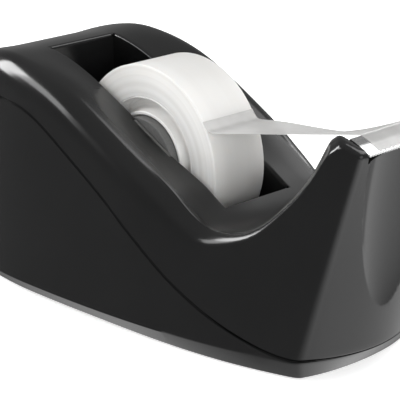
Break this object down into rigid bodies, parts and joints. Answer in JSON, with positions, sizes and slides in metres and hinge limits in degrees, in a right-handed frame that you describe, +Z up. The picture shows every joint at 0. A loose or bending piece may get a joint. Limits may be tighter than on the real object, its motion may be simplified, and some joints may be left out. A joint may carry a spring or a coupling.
{
  "type": "desk tape dispenser",
  "caption": "Weighted desk tape dispenser: swoosh-shaped glossy case, tape roll on a lift-out hub that sits in slanted seats, toothed cutter on the raised nose.",
  "frame": {"origin": "centre of the whole part's box in plan, on the table under the pad", "axes": "+X towards the cutter, +Y across, along the axis of the roll, +Z up"},
  "size_m": [0.1566, 0.0696, 0.0679],
  "materials": {
    "case": "gloss",
    "base": "matt",
    "pad": "foam",
    "ballast": "rough",
    "screw": "zinc plated",
    "hub": "matt",
    "core": "satin",
    "tape": "frosted film",
    "blade": "bright"
  },
  "bodies": {
    "case": {"top_shell": "case", "lower_housing": "case", "base_plate": "base", "nonskid_pad": "pad", "rear_ballast": "ballast", "front_ballast": "ballast", "case_screw_1": "screw", "case_screw_2": "screw", "case_screw_3": "screw", "case_screw_4": "screw", "rear_ballast_screw": "screw", "front_ballast_screw": "screw", "blade_carrier": "base", "cutter_blade": "blade"},
    "hub": {"hub_near_half": "hub", "hub_far_half": "hub", "tape_leader": "tape"},
    "spool": {"tape_core": "core", "tape_roll": "tape"}
  },
  "joints": [
    {"name": "hub_lift", "type": "slide", "parent": "case", "child": "hub", "axis": [0.5878, 0, 0.809], "range_m": [0, 0.05]},
    {"name": "spool_spin", "type": "hinge", "parent": "hub", "child": "spool", "pos_m": [-0.00579, 0, 0.041], "axis": [0, 1, 0], "continuous": true}
  ]
}
